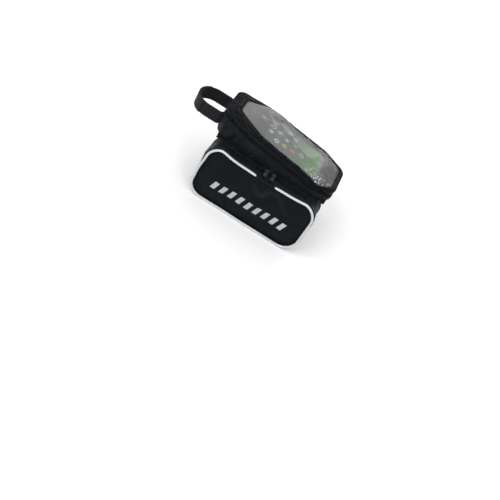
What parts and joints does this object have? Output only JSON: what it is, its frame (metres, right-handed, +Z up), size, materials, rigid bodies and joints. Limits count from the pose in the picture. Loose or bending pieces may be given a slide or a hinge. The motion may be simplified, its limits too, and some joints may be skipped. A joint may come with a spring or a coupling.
{
  "type": "top tube phone bag",
  "caption": "Bicycle bag with two zipped side panniers hung over the top tube and a wedge-shaped phone pouch with a clear window on top.",
  "frame": {"origin": "on the top line of the bicycle's top tube, midway along the saddle sheet that lies on it", "axes": "+X towards the rear of the bicycle, +Y towards its right-hand side, +Z up"},
  "size_m": [0.2575, 0.1468, 0.1468],
  "materials": {
    "polyester": "coated woven polyester",
    "backing_cloth": "plain woven",
    "reflective_piping": "silver retroreflective film over cord",
    "webbing": "hook and loop webbing",
    "zip_nylon": "nylon coil",
    "slider_metal": "black enamel on zinc",
    "pull_pvc": "moulded soft PVC",
    "clear_film": "clear flexible PVC",
    "phone_glass": "glass over a lit screen"
  },
  "bodies": {
    "root": {"front_tube_strap": "webbing", "front_tube_strap_tail": "webbing", "head_tube_strap": "webbing", "head_tube_strap_tail": "webbing", "left_back_panel": "backing_cloth", "left_edge_binding": "polyester", "left_face_panel": "polyester", "left_gusset": "polyester", "left_piping": "reflective_piping", "left_zip_coil_inner": "zip_nylon", "left_zip_coil_outer": "zip_nylon", "left_zip_tape_inner": "backing_cloth", "left_zip_tape_outer": "backing_cloth", "lid_band": "polyester", "lid_border": "polyester", "lid_hinge": "backing_cloth", "phone": "phone_glass", "phone_pocket": "backing_cloth", "pouch_floor": "polyester", "pouch_wall": "polyester", "pouch_zip_coil_lower": "zip_nylon", "pouch_zip_coil_upper": "zip_nylon", "pouch_zip_tape_lower": "backing_cloth", "pouch_zip_tape_upper": "backing_cloth", "rear_tube_strap": "webbing", "rear_tube_strap_tail": "webbing", "right_back_panel": "backing_cloth", "right_edge_binding": "polyester", "right_face_panel": "polyester", "right_gusset": "polyester", "right_piping": "reflective_piping", "right_zip_coil_inner": "zip_nylon", "right_zip_coil_outer": "zip_nylon", "right_zip_tape_inner": "backing_cloth", "right_zip_tape_outer": "backing_cloth", "saddle_sheet": "polyester", "window_film": "clear_film"},
    "left_slider_front": {"left_slider_front": "slider_metal"},
    "left_pull_front": {"left_pull_front": "pull_pvc"},
    "left_slider_rear": {"left_slider_rear": "slider_metal"},
    "left_pull_rear": {"left_pull_rear": "pull_pvc"},
    "right_slider_front": {"right_slider_front": "slider_metal"},
    "right_pull_front": {"right_pull_front": "pull_pvc"},
    "right_slider_rear": {"right_slider_rear": "slider_metal"},
    "right_pull_rear": {"right_pull_rear": "pull_pvc"},
    "pouch_slider_front": {"pouch_slider_front": "slider_metal"},
    "pouch_pull_front": {"pouch_pull_front": "pull_pvc"},
    "pouch_slider_rear": {"pouch_slider_rear": "slider_metal"},
    "pouch_pull_rear": {"pouch_pull_rear": "pull_pvc"}
  },
  "joints": [
    {"name": "left_slider_front_slide", "type": "slide", "parent": "root", "child": "left_slider_front", "axis": [-1, 0, 0], "range_m": [0, 0.055]},
    {"name": "left_pull_front_hinge", "type": "hinge", "parent": "left_slider_front", "child": "left_pull_front", "pos_m": [-0.00265, -0.0542, 0.00455], "axis": [-1, 0, 0], "range_deg": [0, 100]},
    {"name": "left_slider_rear_slide", "type": "slide", "parent": "root", "child": "left_slider_rear", "axis": [1, 0, 0], "range_m": [0, 0.049]},
    {"name": "left_pull_rear_hinge", "type": "hinge", "parent": "left_slider_rear", "child": "left_pull_rear", "pos_m": [0.00965, -0.0542, 0.00455], "axis": [-1, 0, 0], "range_deg": [0, 100]},
    {"name": "right_slider_front_slide", "type": "slide", "parent": "root", "child": "right_slider_front", "axis": [-1, 0, 0], "range_m": [0, 0.055]},
    {"name": "right_pull_front_hinge", "type": "hinge", "parent": "right_slider_front", "child": "right_pull_front", "pos_m": [-0.00265, 0.0542, 0.00455], "axis": [1, 0, 0], "range_deg": [0, 100]},
    {"name": "right_slider_rear_slide", "type": "slide", "parent": "root", "child": "right_slider_rear", "axis": [1, 0, 0], "range_m": [0, 0.049]},
    {"name": "right_pull_rear_hinge", "type": "hinge", "parent": "right_slider_rear", "child": "right_pull_rear", "pos_m": [0.00965, 0.0542, 0.00455], "axis": [1, 0, 0], "range_deg": [0, 100]},
    {"name": "pouch_slider_front_slide", "type": "slide", "parent": "root", "child": "pouch_slider_front", "axis": [-0.9917, 0, 0.1289], "range_m": [0, 0.04]},
    {"name": "pouch_pull_front_hinge", "type": "hinge", "parent": "pouch_slider_front", "child": "pouch_pull_front", "pos_m": [0.0039, 0.04855, 0.02379], "axis": [0.9917, 0, -0.1289], "range_deg": [0, 150]},
    {"name": "pouch_slider_rear_slide", "type": "slide", "parent": "root", "child": "pouch_slider_rear", "axis": [0.9917, 0, -0.1289], "range_m": [0, 0.033]},
    {"name": "pouch_pull_rear_hinge", "type": "hinge", "parent": "pouch_slider_rear", "child": "pouch_pull_rear", "pos_m": [0.0161, 0.04855, 0.02221], "axis": [0.9917, 0, -0.1289], "range_deg": [0, 150]}
  ]
}
